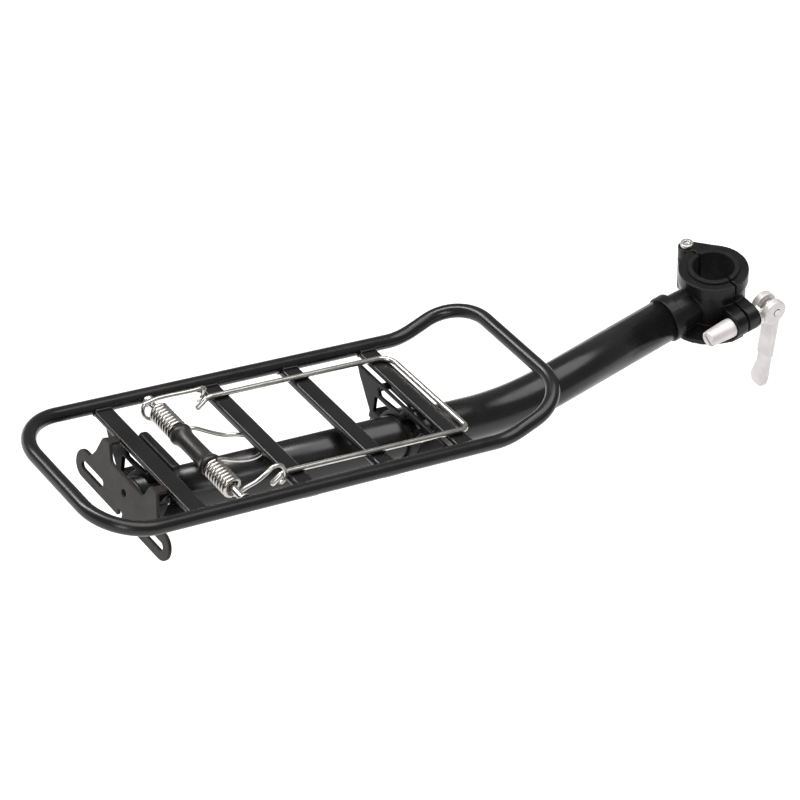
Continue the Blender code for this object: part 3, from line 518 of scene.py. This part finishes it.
def beam():
    """The bent beam as an open pipe, and the plug in its rear end."""
    direction = Vector((math.cos(BEAM_ANGLE), 0, math.sin(BEAM_ANGLE)))
    corner = Vector((BEAM_CORNER_X, 0, BEAM_Z))
    ends = (((BEAM_REAR_X, 0, BEAM_Z), 0), (corner, BEAM_BEND_R), (corner + direction * BEAM_RISE, 0))
    path = rounded_path(ends, step=math.radians(0.8))
    pipe = tube("beam_pipe", path, BEAM_R, resolution=22, twist="Z_UP", caps=False)
    wall = pipe.modifiers.new("wall", "SOLIDIFY")
    wall.thickness = BEAM_WALL
    wall.offset = -1
    show(pipe, TUBE_PAINT, "beam_tube")

    inside = BEAM_R - BEAM_WALL - GAP
    rim = BEAM_R - 0.2 * MM
    profile = [(0, PLUG_FACE), (9 * MM, PLUG_FACE), (9.6 * MM, 1.7 * MM), (10.2 * MM, PLUG_FACE)]
    profile += [(rim - MM, PLUG_FACE), (rim, 1.2 * MM), (rim, GAP), (inside, GAP)]
    profile += [(inside, -PLUG_DEPTH), (inside - PLUG_WALL, -PLUG_DEPTH), (inside - PLUG_WALL, 0), (0, 0)]
    place = ORIGIN + Vector((BEAM_REAR_X, 0, BEAM_Z))
    show(turned("end_plug", profile, place, -X_AXIS), SLEEVE_PLASTIC, "beam_end_plug")


def brackets():
    for prefix in ("rear", "front"):
        bracket, strap = prefix + "_bracket", prefix + "_strap"
        show(softened(bracket + "_casting", bracket, voxel=0.45 * MM, passes=5), CAST_PAINT, bracket)
        show(softened(strap + "_band", strap, voxel=0.45 * MM, passes=4), CAST_PAINT, strap)
        for kind in ("pinch_bolt", "strap_screw"):
            node = f"{prefix}_{kind}"
            show(softened(node + "_screw", node, voxel=0.22 * MM, passes=4), SCREW_STEEL, node)


# ---------------------------------------------------------------- spring clip


def spring_seats():
    """The rod between the rails with a fillet at each end, and the flared sleeve on its middle."""
    half = RAIL_Y - LOOP_R - GAP
    edge = 0.4 * MM
    profile = [(0, half), (ROD_R - edge, half), (ROD_R, half - edge)]
    profile += [(ROD_R, -half + edge), (ROD_R - edge, -half), (0, -half)]
    show(turned("clip_rod", profile, CLIP_PIVOT, Y_AXIS), LONG_WIRE, "spring_rod")
    for side, tag in SIDES:
        ring = [(ROD_R + 0.1 * MM, 1.6 * MM), (ROD_R + 1.1 * MM, 1.3 * MM), (ROD_R + 1.9 * MM, 0)]
        ring += [(ROD_R + 1.9 * MM, -1.2 * MM), (ROD_R + 0.1 * MM, -1.2 * MM)]
        place = CLIP_PIVOT - side * Y_AXIS * (half - 1.2 * MM)
        trim(turned(f"rod_fillet_{tag}", ring, place, side * Y_AXIS), SCREW_STEEL, "spring_rod")

    end = COIL_IN - WIRE_R - GAP
    bore = ROD_R + GAP
    flare = [(6.9, 0), (7.5, 0.25), (7.8, 1), (7.8, 2.6), (7.55, 3.5)]  # radius and distance from the end
    flare += [(7.0, 4.5), (6.7, 5.5), (6.4, 7.5), (6.2, 9.5)]
    side = [(bore, end)] + [(radius * MM, end - depth * MM) for radius, depth in flare] + [(6.1 * MM, 0)]
    other = [(radius, -height) for radius, height in reversed(side[:-1])]
    show(turned("clip_sleeve", side + other, CLIP_PIVOT, Y_AXIS, 72), SLEEVE_PLASTIC, "spring_sleeve")


def helix(y_start, y_end, angle_start, angle_end, per_turn=48):
    """Points of a coil round the clip's rod. The angle is measured from +X towards +Z."""
    steps = round(abs(angle_end - angle_start) / math.tau * per_turn)
    points = []
    for k in range(steps + 1):
        t = k / steps
        angle = angle_start + (angle_end - angle_start) * t
        offset = (COIL_R * math.cos(angle), y_start + (y_end - y_start) * t, COIL_R * math.sin(angle))
        points.append(Vector((ROD_X, 0, ROD_Z)) + Vector(offset))
    return points


def coils():
    top, under = math.radians(90), math.radians(-90)
    turns = COIL_TURNS * math.tau
    left = helix(COIL_OUT, COIL_IN, top - turns, math.radians(-30))
    right = helix(-COIL_IN, -COIL_OUT, top - turns, under)
    show(tube("left_coil", left, WIRE_R, resolution=4), COIL_WIRE, "left_spring_coil")
    show(tube("right_coil", right, WIRE_R, resolution=4), COIL_WIRE, "right_spring_coil")


def reaction_loop():
    """The springs' inner ends: one wire from coil to coil that bears on the underside of crossbar 2."""
    knots = in_mm(
        (107.6, 21, -2.8),
        (109.6, 20.7, -0.6),
        (115, 19.6, -0.4),
        (125, 17.6, -4.2),
        (135, 15.6, -7.4),
        (145, 12.5, -7.6),
        (151.5, 8, -7.6),
        (154.5, 2.5, -7.6),
        (154.5, -3, -7.6),
        (151, -8.5, -7.6),
        (144, -12.5, -7.4),
        (136, -15, -6.2),
        (126, -17, -3.4),
        (116, -19, 0.6),
        (108, -20.6, 4.4),
        (103.1, -21, 5.1),
    )
    show(tube("inner_wire", smooth_path(knots), WIRE_R, resolution=5), LONG_WIRE, "reaction_loop")


def right_arm():
    knots = in_mm(
        (103, -43.5, -6.7),
        (107, -43.9, -5.6),
        (113, -44.4, -2),
        (120, -44.6, 1.2),
        (126, -44.7, 5.8),
        (130, -44.8, 9.6),
        (134.6, -45.2, 10),
        (137.7, -46.2, 7.8),
        (139.2, -47.6, 4),
        (138.4, -48, 0),
        (136, -48, -2.6),
    )
    path = nipped(smooth_path(knots), WIRE_R)
    arm = tube("right_arm_wire", path, WIRE_R, resolution=5, widths=round_ends(len(path)))
    show(arm, LONG_WIRE, "right_spring_arm")


def left_arm():
    """The left arm makes nearly one more, wider turn outside the coil, then runs forward over it."""
    start, end = math.radians(81), math.radians(-262)
    steps = 60
    ring = []
    for k in range(steps + 1):
        t = k / steps
        angle = start + (end - start) * t
        radius = COIL_R + 0.6 * MM * t
        x = ROD_X - 8 * MM * t * t + radius * math.cos(angle)
        z = ROD_Z + 0.8 * MM * t + radius * math.sin(angle)
        ring.append(Vector((x, COIL_OUT + 3.3 * MM * t, z)))
    knots = in_mm(
        (101, 46.8, 8.2),
        (110, 46.4, 8.8),
        (122, 45.4, 9.4),
        (130, 44.9, 10),
        (134.6, 45.2, 10),
        (137.7, 46.2, 7.8),
        (139.2, 47.6, 4),
        (138.4, 48, 0),
        (136, 48, -2.6),
    )
    path = nipped(ring[:-1] + smooth_path([ring[-1], *knots]), WIRE_R)
    arm = tube("left_arm_wire", path, WIRE_R, resolution=5, widths=round_ends(len(path)))
    show(arm, LONG_WIRE, "left_spring_arm")


def bail():
    """A U of thicker wire. Its rear ends turn down through the spring arms' hooks."""
    tail = (132.4 * MM, BAIL_Y, -5.8 * MM)
    knee = (140 * MM, BAIL_Y, BAIL_Z)
    corner = (BAIL_FRONT_X, BAIL_Y, BAIL_Z)
    left = [(tail, 0), (knee, 6 * MM), (corner, 10 * MM)]
    right = [((x, -y, z), radius) for (x, y, z), radius in reversed(left[:2])]
    tight = ((BAIL_FRONT_X + BAIL_SKEW, -BAIL_Y - BAIL_SKEW, BAIL_Z), 5 * MM)
    path = nipped(rounded_path([*left, tight, *right], step=math.radians(4)), BAIL_R)
    show(tube("bail_wire", path, BAIL_R, resolution=8, widths=round_ends(len(path))), LONG_WIRE, "bail")


# ---------------------------------------------------------------- seatpost clamp


def clamp():
    pieces = (  # name, node, voxel in mm, smoothing passes, look
        ("clamp_casting", "clamp_body", 0.45, 6, CAST_PAINT),
        ("jaw_casting", "clamp_jaw", 0.45, 6, CAST_PAINT),
        ("rear_shim_sleeve", "rear_shim", 0.35, 3, SHIM_RUBBER),
        ("front_shim_sleeve", "front_shim", 0.35, 3, SHIM_RUBBER),
        ("hinge_bolt_steel", "hinge_bolt", 0.22, 4, SCREW_STEEL),
        ("hinge_nut_steel", "hinge_nut", 0.22, 4, SCREW_STEEL),
        ("skewer_steel", "skewer", 0.22, 4, SCREW_STEEL),
        ("lever_casting", "cam_lever", 0.35, 5, PALE_ALUMINIUM),
        ("cam_pin", "lever_pin", 0.2, 4, SCREW_STEEL),
        ("quick_release_nut", "barrel_nut", 0.22, 3, PALE_ALUMINIUM),
        ("cam_seat", "cam_washer", 0.25, 3, SCREW_STEEL),
    )
    for name, node, voxel, passes, look in pieces:
        show(softened(name, node, voxel * MM, passes), look, node)
    # A dark block in the nut's slot, as painted shade
    nut_slot_shade()


def nut_slot_shade():
    """A dark block at the bottom of the barrel nut's slot: painted shade that stands in for the slot's
    shadow.
    """
    bpy.ops.mesh.primitive_cube_add(size=1)
    slot_shade = bpy.context.active_object
    slot_shade.name = "nut_slot_shade"
    for vert in slot_shade.data.vertices:
        vert.co = vert.co * Vector((SLOT_SHADE_DEPTH, SLOT_SHADE_LENGTH, SLOT_SHADE_WIDTH))
    bevelled = slot_shade.modifiers.new("edges", "BEVEL")
    bevelled.width = 0.5 * MM
    bevelled.segments = 3
    across = Matrix.Rotation(NUT_SLOT_TURN, 3, NUT_AXIS) @ Y_AXIS
    turn = Matrix((NUT_AXIS, across, NUT_AXIS.cross(across))).transposed().to_4x4()
    nut_mesh = frame["nodes"]["barrel_nut"].data
    nut_back = min(NUT_AXIS.dot(vert.co - NUT_PIVOT) for vert in nut_mesh.vertices)
    place = NUT_PIVOT + NUT_AXIS * (nut_back + NUT_SLOT_DEPTH - SLOT_SHADE_DEPTH / 2)
    slot_shade.matrix_world = Matrix.Translation(place) @ turn
    slot_shade.data.shade_smooth()
    trim(slot_shade, SLEEVE_PLASTIC, "barrel_nut")


# ---------------------------------------------------------------- studio


def area_light(name, location, target, size, power):
    """A rectangular light that faces the target."""
    light = bpy.data.lights.new(name, "AREA")
    light.shape = "RECTANGLE"
    light.size, light.size_y = size
    light.energy = power
    obj = new_object(name, light)
    obj.location = location
    obj.rotation_euler = (target - location).to_track_quat("-Z", "Y").to_euler()


def sun_light(name, source, power, spread):
    """A light that comes from the direction of its source, over the given angle."""
    light = bpy.data.lights.new(name, "SUN")
    light.energy = power
    light.angle = spread
    obj = new_object(name, light)
    obj.rotation_euler = Vector(source).to_track_quat("Z", "Y").to_euler()


def studio():
    """A white floor and an even white sky, with a key light, a weaker fill and a broad light from above."""
    bpy.ops.mesh.primitive_plane_add(size=FLOOR_SIZE, location=(0, 0, cad_low.z - FLOOR_DROP))
    floor = bpy.context.active_object
    floor.name = "floor"
    floor.data.materials.append(floor_surface())
    world = bpy.data.worlds.new("studio_world")
    world.use_nodes = True
    background = world.node_tree.nodes["Background"]
    background.inputs["Color"].default_value = (1, 1, 1, 1)
    background.inputs["Strength"].default_value = 0.32
    bpy.context.scene.world = world
    bpy.context.scene.view_settings.view_transform = "Standard"
    middle = (cad_low + cad_high) / 2
    area_light("key", middle + Vector((-2.7, 3, 5.1)), middle, size=(1.5, 4.8), power=380)
    area_light("front_fill", middle + Vector((-4.2, -4.5, 2.7)), middle, size=(1.5, 3.6), power=108)
    sun_light("overhead", source=(0.3, -0.2, 2.6), power=2.0, spread=math.radians(50))


def camera():
    """The photo's viewpoint, from a camera fitted to the platform's rails and crossbars alone."""
    data = bpy.data.cameras.new("camera")
    data.lens = 144
    data.sensor_width = 36
    obj = new_object("camera", data)
    place = Vector((-1.5218, -1.2969, 1.1087))
    right = Vector((0.789, -0.5793, 0.2048))
    up = Vector((0.1862, 0.543, 0.8189))
    back = Vector((-0.5856, -0.6079, 0.5363))
    turn = Matrix((right, up, back)).transposed().to_4x4()
    obj.matrix_world = Matrix.Translation(place) @ turn
    bpy.context.scene.camera = obj


platform_loop()
crossbars()
rail_welds()
tail_light_plate()
beam()
brackets()
spring_seats()
coils()
reaction_loop()
left_arm()
right_arm()
bail()
clamp()
studio()
camera()
